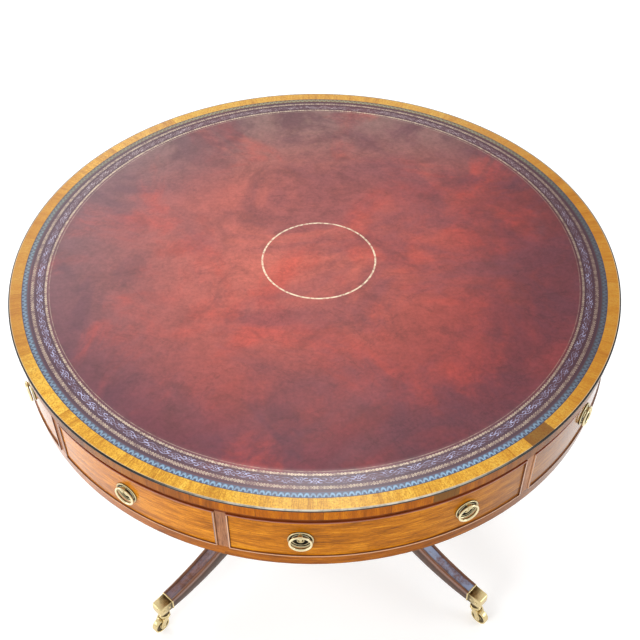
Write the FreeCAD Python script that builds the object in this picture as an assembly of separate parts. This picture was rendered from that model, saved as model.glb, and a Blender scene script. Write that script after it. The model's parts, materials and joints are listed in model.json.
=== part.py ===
import FreeCAD, Part
import math
import os

# Revolving drum table. A round leather-lined top lies on a frieze of four real
# drawers and four dummy fronts. This drum turns on a turned column, which stands
# on four reeded sabre legs with brass toe caps and castors.
# The origin is on the floor under the centre, with +Z up, in millimetres.
# An azimuth is in degrees from the front (-Y) towards the right (+X).

Vec = FreeCAD.Vector
UP = Vec(0, 0, 1)
ORIGIN = Vec(0, 0, 0)

# Whole table
table_height = 760.0
drum_turn = 10.4
quarter_turn = 90.0
full_turn = 360.0
cut_overrun = 5.0
joint_gap = 0.1
small_sides = 8
same_point = 1e-6
flat_volume = 1e-3

# Top
top_radius = 572.0
top_thick = 27.0
skin_thick = 1.5
crossband_width = 22.0
edge_bead_height = 7.5
edge_bead_project = 3.2

# Frieze
frieze_inset = 6.0
upper_board_thick = 14.0
opening_height = 97.0
floor_thick = 24.0
narrow_front_span = 36.0
stile_width = 18.0
stile_depth = 30.0
dummy_front_thick = 20.0
back_flats = 3
partition_thick = 12.0

# Cock beads round every front
cock_bead_thick = 3.0
cock_bead_project = 2.5
cock_bead_let_in = 7.0

# Drawers
drawer_side_gap = 1.2
drawer_run_gap = 0.3
drawer_head_gap = 0.8
drawer_back_gap = 12.0
front_edge_thick = 19.0
drawer_side_thick = 10.0
drawer_back_thick = 10.0
drawer_bottom_thick = 6.0
drawer_bottom_raise = 12.0
bottom_groove_depth = 4.0
drawer_side_drop = 14.0
lap_depth = 10.0
tail_count = 2
tail_slope_share = 0.16
tail_width_share = 0.62
stop_thick = 8.0
stop_width = 40.0
stop_gap = 0.3
stop_spread_share = 0.55

# Ring pulls
rose_radius = 21.2
rose_rim_height = 3.0
rose_sides = 8
rose_profile_shares = [(0, 0), (1, 0), (0.93, 1), (0.8, 0.45), (0.3, 0.45), (0, 1.2)]
ring_radius = 17.4
ring_wire_radius = 2.2
ring_sides = 12
wire_sides = 4
ring_clear = 4.0
ring_drop = 2.4
lug_width = 7.0
lug_wall = 1.9
lug_play = 0.5
lug_nose_steps = 3
lug_eye_sides = 6
wide_pull_angle = 14.05

# Bearing between the drum and the pedestal
pivot_radius = 16.0
pivot_tang_width = 22.0
pivot_play = 0.05
floor_hole_play = 1.0
pivot_rise = 60.0
pivot_sink = 50.0
hub_width = 110.0
bearer_width = 300.0
bearer_thick = 24.0
bearer_gap = 0.3
bearer_corner = 40.0

# Column
column_radius = 58.0
column_foot_height = 190.0
leg_block_height = 122.0
pendant_height = 26.0
flats_per_eighth = 2
pendant_profile_shares = [(0, 0), (0, 0.45), (0.55, 0.86), (1, 0.86)]
shaft_profile_shares = [
    (0.05, 0.78), (0.11, 0.7), (0.14, 0.84), (0.2, 0.84), (0.23, 0.66), (0.4, 0.78),
    (0.8, 0.46), (0.83, 0.62), (0.88, 0.5), (0.96, 0.68), (1, 0.94),
]

# Legs
first_leg_azimuth = 45.0
leg_reach = 496.0
leg_toe_top = 93.0
leg_toe_depth = 26.0
leg_hip_depth = 62.0
leg_toe_width = 30.0
leg_hip_width = 40.0
leg_bead_height = 2.2
leg_bead_shares = [(0.5, 0.6), (0.44, 0), (0.35, 0.1), (0.3, 1)]
leg_line_shares = [
    (0, 0), (0.15, 0.033), (0.3, 0.11), (0.45, 0.24), (0.58, 0.405), (0.7, 0.605), (0.84, 0.835), (1, 1),
]
dovetail_depth = 18.0
dovetail_neck = 16.0
dovetail_tail = 23.0
dovetail_shoulder = 10.0

# Toe caps
cap_length = 36.0
cap_wall = 2.0
cap_corner = 4.0
socket_radius = 11.0

# Castors
wheel_radius = 19.0
wheel_width = 14.0
wheel_crown_gap = 4.0
wheel_side_gap = 0.4
axle_radius = 2.5
axle_play = 0.05
castor_trail = 14.0
wheel_sides = 20
crown_radius = 12.5
crown_thick = 4.0
crown_gap = 0.3
stem_radius = 4.0
stem_length = 14.0
stem_play = 0.05
horn_thick = 3.0
horn_eye_radius = 6.5

# Heights that follow
top_under = table_height - top_thick
skin_under = table_height - skin_thick
opening_top = top_under - upper_board_thick
opening_bottom = opening_top - opening_height
drum_under = opening_bottom - floor_thick
bearer_top = drum_under - bearer_gap
column_top = bearer_top - bearer_thick
block_top = column_foot_height + leg_block_height
hip_top = block_top - dovetail_shoulder
turning_sides = flats_per_eighth * 8
pivot_top = opening_bottom + pivot_rise
pull_height = (opening_top + opening_bottom) / 2
ring_axis_height = pull_height + ring_radius - ring_drop
ring_plane = rose_rim_height + ring_clear

# Radii and angles that follow
leather_radius = top_radius - crossband_width
frieze_radius = top_radius - frieze_inset
wide_front_span = quarter_turn - narrow_front_span
stile_angle = math.degrees(stile_width / frieze_radius)
narrow_half_angle = (narrow_front_span - stile_angle) / 2
wide_half_angle = (wide_front_span - stile_angle) / 2
passage_half = frieze_radius * math.sin(math.radians(narrow_half_angle))
partition_outside = passage_half + partition_thick
stile_back_radius = frieze_radius - stile_depth

# Azimuths of the fronts, with the drum at rest, and of the legs
wide_azimuths = [drum_turn + quarter_turn * i for i in range(4)]
narrow_azimuths = [azimuth - quarter_turn / 2 for azimuth in wide_azimuths]
leg_azimuths = [first_leg_azimuth + quarter_turn * i for i in range(4)]
leg_names = ["right_front", "right_back", "left_back", "left_front"]

# Drawer places that follow
drawer_half = passage_half - drawer_side_gap
drawer_low = opening_bottom + drawer_run_gap
drawer_high = opening_top - drawer_head_gap
drawer_back_x = partition_outside + drawer_back_gap
front_back_x = math.sqrt(frieze_radius ** 2 - drawer_half ** 2) - front_edge_thick
upright_nose_x = math.sqrt((frieze_radius + cock_bead_project) ** 2 - drawer_half ** 2)
side_high = opening_top - drawer_side_drop

# Toe and castor places that follow
cap_start_x = leg_reach - cap_length
cap_low = leg_toe_top - leg_toe_depth
cap_half = leg_toe_width / 2
stem_x = leg_reach - cap_length / 2
axle_x = stem_x + castor_trail
crown_low = wheel_radius * 2 + wheel_crown_gap
crown_high = crown_low + crown_thick
socket_low = crown_high + crown_gap
small_flat_share = math.cos(math.pi / small_sides)
stem_corner_radius = stem_radius * small_flat_share
axle_corner_radius = axle_radius * small_flat_share


def turned_to(shape, azimuth):
    """A copy of a shape made facing +X, turned to face an azimuth."""
    copy = shape.copy()
    copy.rotate(ORIGIN, UP, azimuth - quarter_turn)
    return copy


def box(low_x, high_x, low_y, high_y, low_z, high_z):
    size = (high_x - low_x, high_y - low_y, high_z - low_z)
    return Part.makeBox(*size, Vec(low_x, low_y, low_z))


def disc(radius, low_z, high_z, x=0):
    return Part.makeCylinder(radius, high_z - low_z, Vec(x, 0, low_z))


def ring(inner, outer, low_z, high_z):
    return disc(outer, low_z, high_z).cut(disc(inner, low_z, high_z))


def prism(points, push):
    """The flat polygon through the points, pushed along a vector."""
    return Part.Face(Part.makePolygon(points + points[:1])).extrude(push)


def on_circle(radius, angle):
    a = math.radians(angle)
    return (radius * math.cos(a), radius * math.sin(a))


def bowed(inner, outer, start, end, low_z, high_z):
    """A block between two angles from +X, with a round face and a back cut in flats."""
    out_arc = Part.Arc(*[Vec(*on_circle(outer, a), low_z) for a in (start, (start + end) / 2, end)])
    corners = [Vec(*on_circle(outer, end), low_z)]
    for i in range(back_flats + 1):
        corners.append(Vec(*on_circle(inner, end + (start - end) * i / back_flats), low_z))
    corners.append(Vec(*on_circle(outer, start), low_z))
    wire = Part.Wire([out_arc.toShape()] + Part.makePolygon(corners).Edges)
    return Part.Face(wire).extrude(UP * (high_z - low_z))


def revolved(points):
    """The polygon of (radius, height) points swept about the Z axis."""
    outline = [Vec(r, 0, z) for r, z in points]
    return Part.Face(Part.makePolygon(outline + outline[:1])).revolve(ORIGIN, UP, full_turn)


def flat_faces(loop):
    """The loop of three or four points as one flat face, or as two where it is twisted."""
    loop = [p for i, p in enumerate(loop) if not p.isEqual(loop[i - 1], same_point)]
    pieces = [loop]
    if len(loop) < 3:
        return []
    if len(loop) > 3:
        a, b, c, d = loop
        if abs((b - a).cross(c - a).dot(d - a)) > flat_volume:
            pieces = [[a, b, c], [a, c, d]]
    return [Part.Face(Part.makePolygon(points + points[:1])) for points in pieces]


def skinned(outlines, ends):
    """A solid with flat facets between neighbouring outlines of matching points, and its end faces."""
    faces = [Part.Face(Part.makePolygon(outline + outline[:1])) for outline in ends]
    for here, there in outlines:
        for i, corner in enumerate(here):
            j = (i + 1) % len(here)
            faces += flat_faces([corner, here[j], there[j], there[i]])
    solid = Part.Solid(Part.Shell(faces))
    if solid.Volume < 0:
        solid.reverse()
    return solid


def faceted_turning(profile, sides):
    """A turning stepped round Z in flats, whose middles lie on the (radius, height) profile."""
    half_step = full_turn / sides / 2
    corner_share = 1 / math.cos(math.radians(half_step))
    outlines = [[Vec(*on_circle(r * corner_share, full_turn * i / sides - half_step), z) for r, z in profile]
                for i in range(sides)]
    return skinned(zip(outlines, outlines[1:] + outlines[:1]), [])


def faceted_rod(radius, low_z, high_z, sides, x=0):
    rod = faceted_turning([(0, low_z), (radius, low_z), (radius, high_z), (0, high_z)], sides)
    rod.translate(Vec(x, 0, 0))
    return rod


def laid_across(shape, x, z):
    """A shape made about +Z and centred on the XY plane, laid along Y with its axis at x and z."""
    laid = shape.copy()
    laid.rotate(ORIGIN, Vec(1, 0, 0), quarter_turn)
    laid.translate(Vec(x, 0, z))
    return laid


def facing_out(shape, x, z):
    """A shape made about +Z, laid down to face +X and moved to a place on that side."""
    laid = shape.copy()
    laid.rotate(ORIGIN, Vec(0, 1, 0), quarter_turn)
    laid.translate(Vec(x, 0, z))
    return laid


def mirrored(shape):
    return shape.mirror(ORIGIN, Vec(0, 1, 0))


def both_sides(shapes):
    return shapes + [mirrored(shape) for shape in shapes]


def all_turned(shapes, azimuths):
    """One group of separate solids, with the shapes repeated at each azimuth."""
    return Part.makeCompound([turned_to(s, azimuth) for azimuth in azimuths for s in shapes])


def drum_top():
    """The top board, the leather and crossbanding on it, and the bead round its edge."""
    bead_low = table_height - edge_bead_height
    bead_middle = table_height - edge_bead_height / 2
    bead = [(top_radius, bead_low), (top_radius + edge_bead_project, bead_middle), (top_radius, table_height)]
    return {
        "top_board": disc(top_radius, top_under, skin_under),
        "writing_leather": disc(leather_radius, skin_under, table_height),
        "top_crossbanding": ring(leather_radius, top_radius, skin_under, table_height),
        "edge_bead": revolved(bead),
    }


def stile():
    """One upright between a real drawer's passage and a dummy front."""
    start = narrow_half_angle
    post = bowed(stile_back_radius, frieze_radius, start - stile_angle, start + stile_angle,
                  opening_bottom, opening_top)
    passage = box(0, frieze_radius + cut_overrun, -passage_half, passage_half,
                  opening_bottom, opening_top)
    return post.cut(passage)


def partition():
    """One board that guides a drawer's side, from near the middle to its stile."""
    board = box(partition_outside, stile_back_radius, passage_half, partition_outside,
                opening_bottom, opening_top)
    return board.common(disc(stile_back_radius - joint_gap, opening_bottom, opening_top))


def stop():
    """A block on the drum's floor that a drawer's front closes against."""
    middle = drawer_half * stop_spread_share
    front_x = front_back_x - stop_gap
    return box(front_x - stop_width, front_x, middle - stop_width / 2, middle + stop_width / 2,
               opening_bottom, opening_bottom + stop_thick)


def drum_case():
    """The boards, posts and partitions that carry the drawers."""
    floor_hole = disc(pivot_radius + floor_hole_play, drum_under, opening_bottom)
    half = hub_width / 2
    hub = box(-half, half, -half, half, opening_bottom, opening_top)
    bore = disc(pivot_radius + pivot_play, opening_bottom, pivot_top + cut_overrun)
    return {
        "upper_board": disc(frieze_radius, opening_top, top_under),
        "drum_floor": disc(frieze_radius, drum_under, opening_bottom).cut(floor_hole),
        "stiles": all_turned(both_sides([stile()]), narrow_azimuths),
        "partitions": all_turned(both_sides([partition()]), narrow_azimuths),
        "drawer_stops": all_turned(both_sides([stop()]), narrow_azimuths),
        "pivot_hub": turned_to(hub.cut(bore), narrow_azimuths[0]),
    }


def rose():
    """The round plate behind a ring, its base on the XY plane, facing +Z."""
    profile = [(r * rose_radius, z * rose_rim_height) for r, z in rose_profile_shares]
    return faceted_turning(profile, rose_sides)


def lug():
    """The pierced post that a ring hangs in, facing +X, with the middle of its eye at z = 0."""
    hole = ring_wire_radius + lug_play
    eye = hole + lug_wall
    outline = [(0, -eye), (0, eye)]
    for i in range(lug_nose_steps + 1):
        x, z = on_circle(eye, quarter_turn - full_turn / 2 * i / lug_nose_steps)
        outline.append((ring_plane + x, z))
    side = -lug_width / 2
    post = prism([Vec(x, side, z) for x, z in outline], Vec(0, lug_width, 0))
    opening = faceted_rod(hole, -lug_width, lug_width, lug_eye_sides)
    return post.cut(laid_across(opening, ring_plane, 0))


def ring_plate(face_x):
    """A rose and its lug, seated on a front whose face is at face_x."""
    post = lug()
    post.translate(Vec(face_x, 0, ring_axis_height))
    return facing_out(rose(), face_x, pull_height).fuse(post)


def pull_ring(face_x):
    """A ring hanging in its lug."""
    angles = [full_turn * (i + 1 / 2) / wire_sides for i in range(wire_sides)]
    section = [on_circle(ring_wire_radius, angle) for angle in angles]
    profile = [(ring_radius + across, along) for across, along in section]
    hoop = faceted_turning(profile, ring_sides)
    return facing_out(hoop, face_x + ring_plane, pull_height - ring_drop)


def drawer_beads():
    """The cock beads of a real drawer: full-thickness strips above and below, uprights let in."""
    nose = frieze_radius + cock_bead_project
    room = box(front_back_x, nose, -drawer_half, drawer_half, 0, table_height)
    low_strip = disc(nose, drawer_low, drawer_low + cock_bead_thick).common(room)
    high_strip = disc(nose, drawer_high - cock_bead_thick, drawer_high).common(room)
    return [low_strip, high_strip] + both_sides([upright_bead(joint_gap)])


def upright_bead(gap):
    """The bead on an upright edge of a drawer's front, gap short of the strips at its ends."""
    inner = drawer_half - cock_bead_thick
    nose = upright_nose_x
    back = nose - cock_bead_project - cock_bead_let_in
    return box(back, nose, inner, drawer_half, drawer_low + cock_bead_thick + gap,
               drawer_high - cock_bead_thick - gap)


def tails(root_x, end_x, grow=0):
    """The dovetails on the end of a drawer's side, or with grow, the sockets for them."""
    pitch = (side_high - drawer_low) / tail_count
    half = pitch * tail_width_share / 2
    slope = abs(end_x - root_x) * tail_slope_share
    inner = drawer_half - drawer_side_thick - grow
    shapes = []
    for i in range(tail_count):
        middle = drawer_low + pitch * (i + 1 / 2)
        root = half - slope + grow
        end = half + grow
        points = [Vec(root_x, inner, middle - root), Vec(root_x, inner, middle + root),
                  Vec(end_x, inner, middle + end), Vec(end_x, inner, middle - end)]
        shapes.append(prism(points, Vec(0, drawer_half + grow - inner, 0)))
    return shapes


def drawer():
    """One drawer facing +X: its front, its beads, its dovetailed carcase and its ring plate."""
    lap_x = front_back_x + lap_depth
    side_start = drawer_back_x + drawer_back_thick + joint_gap
    inner_half = drawer_half - drawer_side_thick
    grooved_half = inner_half + bottom_groove_depth
    bottom_low = drawer_low + drawer_bottom_raise
    bottom_high = bottom_low + drawer_bottom_thick

    bottom = box(drawer_back_x, front_back_x, -grooved_half, grooved_half, bottom_low, bottom_high)
    groove = box(drawer_back_x, front_back_x, -grooved_half - joint_gap, grooved_half + joint_gap,
                 bottom_low - joint_gap, bottom_high + joint_gap)
    side = box(side_start, front_back_x, inner_half, drawer_half, drawer_low, side_high)
    front_tails = tails(front_back_x, lap_x)
    back_tails = tails(side_start, drawer_back_x)
    side = side.multiFuse(front_tails + back_tails).removeSplitter().cut(groove)

    back = box(drawer_back_x, drawer_back_x + drawer_back_thick, -drawer_half, drawer_half,
               bottom_high + joint_gap, side_high)
    back = back.cut(Part.makeCompound(both_sides(tails(side_start, drawer_back_x, joint_gap))))

    front = disc(frieze_radius, drawer_low + cock_bead_thick, drawer_high - cock_bead_thick).common(
        box(front_back_x, frieze_radius, -drawer_half, drawer_half, drawer_low, drawer_high))
    front = front.cut(Part.makeCompound(both_sides(front_tails + [upright_bead(0)])))
    return {
        "front": front,
        "cock_beads": Part.makeCompound(drawer_beads()),
        "carcase": Part.makeCompound(both_sides([side]) + [back, bottom]),
        "ring_plate": ring_plate(frieze_radius),
    }


def dummy_front():
    """One fixed front facing +X, notched at its ends for the upright beads."""
    panel = bowed(frieze_radius - dummy_front_thick, frieze_radius, -wide_half_angle, wide_half_angle,
                   opening_bottom + cock_bead_thick, opening_top - cock_bead_thick)
    return panel.cut(Part.makeCompound(both_sides([dummy_upright_bead(0)])))


def dummy_upright_bead(gap):
    """The bead on an upright edge of a fixed front, gap short of the strips at its ends."""
    bead = box(frieze_radius - cock_bead_let_in, frieze_radius + cock_bead_project, -cock_bead_thick, 0,
               opening_bottom + cock_bead_thick + gap, opening_top - cock_bead_thick - gap)
    return turned_to(bead, quarter_turn + wide_half_angle)


def dummy_beads():
    """The cock beads round one fixed front."""
    inner = frieze_radius - dummy_front_thick
    nose = frieze_radius + cock_bead_project
    strips = [bowed(inner, nose, -wide_half_angle, wide_half_angle, low, low + cock_bead_thick)
              for low in (opening_bottom, opening_top - cock_bead_thick)]
    return strips + both_sides([dummy_upright_bead(joint_gap)])


def dummy_fronts():
    """The four fixed fronts with their beads and ring plates."""
    plate_azimuths = [azimuth + side * wide_pull_angle for azimuth in wide_azimuths for side in (-1, 1)]
    return {
        "dummy_fronts": all_turned([dummy_front()], wide_azimuths),
        "dummy_cock_beads": all_turned(dummy_beads(), wide_azimuths),
        "dummy_ring_plates": all_turned([ring_plate(frieze_radius)], plate_azimuths),
    }


def drawers_and_rings():
    """Four real drawers, and a ring in each of the twelve lugs."""
    nodes = {}
    pieces = drawer()
    hanging = pull_ring(frieze_radius)
    for number, azimuth in enumerate(narrow_azimuths, 1):
        for name, shape in pieces.items():
            nodes[f"drawer_{number}_{name}"] = turned_to(shape, azimuth)
        nodes[f"drawer_{number}_ring"] = turned_to(hanging, azimuth)
    for number, azimuth in enumerate(wide_azimuths, 1):
        for side, name in ((-1, "left"), (1, "right")):
            nodes[f"dummy_{number}_{name}_ring"] = turned_to(hanging, azimuth + side * wide_pull_angle)
    return nodes


def dovetail():
    """The sliding dovetail that holds a leg, facing +X, inside the column's skin."""
    low = column_foot_height
    inner = column_radius - dovetail_depth
    outer = column_radius + cut_overrun
    points = [Vec(inner, -dovetail_tail / 2, low), Vec(outer, -dovetail_neck / 2, low),
              Vec(outer, dovetail_neck / 2, low), Vec(inner, dovetail_tail / 2, low)]
    return prism(points, UP * (hip_top - low)).common(leg_block())


def leg_block():
    """The plain round length of the column that the legs are housed in."""
    return faceted_rod(column_radius, column_foot_height, block_top, turning_sides)


def column():
    """The turned column, from its pendant foot to the bearer board."""
    foot = column_foot_height - pendant_height
    shaft = column_top - block_top
    profile = [(column_radius * r, foot + pendant_height * z) for z, r in pendant_profile_shares]
    profile = [(0, foot)] + profile[1:] + [(column_radius, column_foot_height), (column_radius, block_top)]
    profile += [(column_radius * r, block_top + shaft * z) for z, r in shaft_profile_shares]
    solid = faceted_turning(profile + [(0, column_top)], turning_sides)
    sockets = all_turned([dovetail()], leg_azimuths)
    return solid.cut(pivot_tang()).cut(sockets)


def pivot_tang():
    """The square lower length of the pivot pin, housed in the column and the bearer board."""
    half = pivot_tang_width / 2
    return box(-half, half, -half, half, column_top - pivot_sink, bearer_top)


def bearer():
    """The board on the column that the drum turns on, with its corners cut off."""
    half = bearer_width / 2
    near = half - bearer_corner
    low = bearer_top - bearer_thick
    corners = [(half, -near), (half, near), (near, half), (-near, half),
               (-half, near), (-half, -near), (-near, -half), (near, -half)]
    board = prism([Vec(x, y, low) for x, y in corners], UP * bearer_thick)
    return turned_to(board, first_leg_azimuth).cut(pivot_tang())


def leg_line():
    """Stations (radius, height, slope) along the top of a leg, from toe to hip."""
    hip_r = column_radius - dovetail_depth
    places = [(leg_reach - (leg_reach - hip_r) * out, leg_toe_top + (hip_top - leg_toe_top) * up)
              for out, up in leg_line_shares]
    stations = []
    for i, (r, z) in enumerate(places):
        before = places[max(i - 1, 0)]
        after = places[min(i + 1, len(places) - 1)]
        stations.append((r, z, math.atan2(after[1] - before[1], before[0] - after[0])))
    return stations


def leg_section(width, depth):
    """(across, down) points of a leg's section: a flat channel between two raised edge beads."""
    right = [(width * across, leg_bead_height * down) for across, down in leg_bead_shares]
    left = [(-across, down) for across, down in reversed(right)]
    return right + left + [(-width / 2, depth), (width / 2, depth)]


def leg():
    """One sabre leg facing +X, with the dovetail on its hip and the tenon on its toe."""
    outlines = []
    for r, z, a in leg_line():
        share = min(max((leg_reach - r) / (leg_reach - column_radius), 0), 1)
        width = leg_toe_width + (leg_hip_width - leg_toe_width) * share
        depth = leg_toe_depth + (leg_hip_depth - leg_toe_depth) * share
        points = [Vec(r - down * math.sin(a), across, z - down * math.cos(a))
                  for across, down in leg_section(width, depth)]
        outlines.append(points)
    body = skinned(zip(outlines, outlines[1:]), [outlines[0], outlines[-1]])
    room = box(0, cap_start_x, -leg_hip_width, leg_hip_width, 0, table_height)
    return body.common(room).cut(leg_block()).fuse(dovetail()).fuse(cap_tenon())


def cap_tenon():
    return box(cap_start_x, leg_reach - cap_wall, cap_wall - cap_half, cap_half - cap_wall,
               cap_low + cap_wall, leg_toe_top - cap_wall)


def toe_cap():
    """The brass box on a leg's toe, with the socket for its castor's stem."""
    corner = cap_half - cap_corner
    outline = [(cap_start_x, -cap_half), (leg_reach - cap_corner, -cap_half), (leg_reach, -corner),
               (leg_reach, corner), (leg_reach - cap_corner, cap_half), (cap_start_x, cap_half)]
    shell = prism([Vec(x, y, cap_low) for x, y in outline], UP * leg_toe_depth)
    socket = faceted_rod(socket_radius, socket_low, cap_low, small_sides, stem_x)
    bore = faceted_rod(stem_radius + stem_play, socket_low, socket_low + stem_length, small_sides, stem_x)
    return shell.cut(cap_tenon()).fuse(socket).cut(bore)


def castor_fork():
    """The brass fork under a toe, with its stem and the pin that the wheel turns on."""
    inner = wheel_width / 2 + wheel_side_gap
    crown = faceted_rod(crown_radius, crown_low, crown_high, small_sides, stem_x)
    stem = faceted_rod(stem_corner_radius, crown_high, crown_high + stem_length, small_sides, stem_x)
    eye = horn_eye_radius
    outline = [(stem_x - eye, crown_high), (stem_x - eye, crown_low), (axle_x - eye, wheel_radius),
               (axle_x - eye / 2, wheel_radius - eye), (axle_x + eye / 2, wheel_radius - eye),
               (axle_x + eye, wheel_radius), (stem_x + eye, crown_high)]
    horn = prism([Vec(x, inner, z) for x, z in outline], Vec(0, horn_thick, 0))
    pin_half = inner + horn_thick
    pin = laid_across(faceted_rod(axle_corner_radius, -pin_half, pin_half, small_sides), axle_x, wheel_radius)
    return crown.multiFuse([stem, horn, mirrored(horn), pin]).removeSplitter()


def castor_wheel():
    bore = axle_radius + axle_play
    half = wheel_width / 2
    wheel = faceted_turning([(bore, -half), (wheel_radius, -half), (wheel_radius, half), (bore, half)],
                            wheel_sides)
    return laid_across(wheel, axle_x, wheel_radius)


def pedestal():
    """The column, its bearer board and pin, and the legs on their castors."""
    pin = disc(pivot_radius, bearer_top, pivot_top).fuse(pivot_tang())
    nodes = {"column": column(), "bearer_board": bearer(), "pivot_pin": pin}
    for name, azimuth in zip(leg_names, leg_azimuths):
        nodes["leg_" + name] = turned_to(leg(), azimuth)
        nodes["castor_fork_" + name] = turned_to(castor_fork(), azimuth)
        nodes["castor_wheel_" + name] = turned_to(castor_wheel(), azimuth)
    nodes["toe_caps"] = all_turned([toe_cap()], leg_azimuths)
    return nodes


def main():
    os.makedirs("parts", exist_ok=True)
    nodes = {}
    for group in (drum_top(), drum_case(), dummy_fronts(), drawers_and_rings(), pedestal()):
        nodes.update(group)
    for name, shape in nodes.items():
        shape.exportStep(f"parts/{name}.step")
    print(len(nodes), "nodes")


main()
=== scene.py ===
import json
import math
import bmesh
import bpy
from mathutils import Matrix, Vector

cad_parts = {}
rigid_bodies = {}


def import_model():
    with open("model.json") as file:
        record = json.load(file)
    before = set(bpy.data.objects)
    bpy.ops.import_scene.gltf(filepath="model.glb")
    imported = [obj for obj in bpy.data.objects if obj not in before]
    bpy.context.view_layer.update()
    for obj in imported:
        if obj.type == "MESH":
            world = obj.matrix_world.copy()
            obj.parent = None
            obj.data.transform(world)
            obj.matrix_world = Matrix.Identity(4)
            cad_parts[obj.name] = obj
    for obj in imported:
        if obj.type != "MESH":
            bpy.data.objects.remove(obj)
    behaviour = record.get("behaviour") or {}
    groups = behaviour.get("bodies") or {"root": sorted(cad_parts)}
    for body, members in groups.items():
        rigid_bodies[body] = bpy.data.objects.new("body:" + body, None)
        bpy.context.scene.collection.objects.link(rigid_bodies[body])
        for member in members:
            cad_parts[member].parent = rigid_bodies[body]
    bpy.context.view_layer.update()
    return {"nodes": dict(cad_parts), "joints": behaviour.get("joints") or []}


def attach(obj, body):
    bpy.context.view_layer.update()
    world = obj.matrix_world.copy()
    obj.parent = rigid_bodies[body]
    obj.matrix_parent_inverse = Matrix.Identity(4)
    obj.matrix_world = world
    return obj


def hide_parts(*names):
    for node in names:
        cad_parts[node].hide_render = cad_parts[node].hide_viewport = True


# Looks of the revolving drum table: tooled leather, veneers, turned and reeded
# mahogany, cast brass pulls and castors. Lengths are in millimetres, apart from
# names in _m, a material's x, y and z, and the stage, which are in metres.
# Azimuths run from the front (-Y) towards the right (+X).

for old in list(bpy.data.objects):
    bpy.data.objects.remove(old)
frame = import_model()

MM = 0.001
TOP = 760.0
TOP_RADIUS = 572.0
FRIEZE_RADIUS = 566.0
DRUM_UNDER = 598.0
DRUM_TURN = 10.4

# Pulls
ROSE_RADIUS = 21.2
RING_RADIUS = 17.4
RING_WIRE = 2.2
RING_PLANE = 7.0
RING_DROP = 2.4
RING_STEPS, WIRE_STEPS = 64, 16

# Column and legs
COLUMN_FOOT = 190.0
COLUMN_TOP = 573.7
BLOCK_TOP = 312.0
BLOCK_RADIUS = 58.0
HIP_RADIUS = 40.0
HIP_TOP = 302.0
LEG_REACH = 496.0
TOE_TOP = 93.0
TOE_WIDTH, HIP_WIDTH = 30.0, 40.0
TOE_DEPTH, HIP_DEPTH = 26.0, 62.0
LEG_LINE = [(0, 0), (0.15, 0.033), (0.3, 0.11), (0.45, 0.24), (0.58, 0.405), (0.7, 0.605),
            (0.84, 0.835), (1, 1)]

# Toe caps and castors
CAP_LENGTH = 36.0
CAP_LOW = TOE_TOP - TOE_DEPTH
SOCKET_LOW = 46.3
CROWN_LOW, CROWN_HIGH = 42.0, 46.0
STEM_X = LEG_REACH - CAP_LENGTH / 2
AXLE_X = STEM_X + 14.0
WHEEL_RADIUS = 19.0
WHEEL_HALF = 7.0
HORN_INNER, HORN_OUTER = 7.4, 10.4
CORNER_STEPS = 5

joints = {joint["name"]: joint for joint in frame["joints"]}
LEGS = ("right_front", "right_back", "left_back", "left_front")


def azimuth_of(joint):
    """The azimuth of a joint's place, in radians."""
    x, y, _ = joints[joint]["pos_m"]
    return math.atan2(x, -y)


def height_of(joint):
    """The height of a joint's place."""
    return joints[joint]["pos_m"][2] / MM


# Shapes

def bowed_line(points, steps=8):
    """A line through (across, up, bow) points. A bow of 0 is straight, 1 a half circle to the right."""
    line = [points[0][:2]]
    for (x0, y0, _), (x1, y1, bow) in zip(points, points[1:]):
        half = 2 * math.atan(bow)
        if half:
            along = Vector((x1 - x0, y1 - y0))
            right = Vector((along.y, -along.x))
            middle = Vector((x0 + x1, y0 + y1)) / 2
            for i in range(1, steps):
                turn = half * (2 * i / steps - 1)
                place = middle + along * (math.sin(turn) / math.sin(half) / 2)
                place += right * ((math.cos(turn) - math.cos(half)) / math.sin(half) / 2)
                line.append(tuple(place))
        line.append((x1, y1))
    return line


def smooth_line(points, steps):
    """Points along the smooth curve through the given points, with so many steps to a run."""
    ends = [points[0], *points, points[-1]]
    line = []
    for before, start, end, after in zip(ends, ends[1:], ends[2:], ends[3:]):
        for i in range(steps):
            t = i / steps
            weights = (2 * t ** 2 - t ** 3 - t, 2 - 5 * t ** 2 + 3 * t ** 3,
                       t + 4 * t ** 2 - 3 * t ** 3, t ** 3 - t ** 2)
            line.append(tuple(sum(w * p for w, p in zip(weights, values)) / 2
                              for values in zip(before, start, end, after)))
    return line + [tuple(points[-1])]


def facing(azimuth, out=0.0, up=0.0):
    """The place at an azimuth where local X is to the right, Y inwards and Z up."""
    return Matrix.Rotation(azimuth, 4, "Z") @ Matrix.Translation((0.0, -out, up))


def standing_out(azimuth, out, up):
    """The place at an azimuth where local X is to the right, Y up and Z outwards."""
    return facing(azimuth, out, up) @ Matrix.Rotation(math.radians(90), 4, "X")


def across(azimuth, out, up):
    """The place at an azimuth where local Z is to the right."""
    return facing(azimuth, out, up) @ Matrix.Rotation(math.radians(90), 4, "Y")


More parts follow.
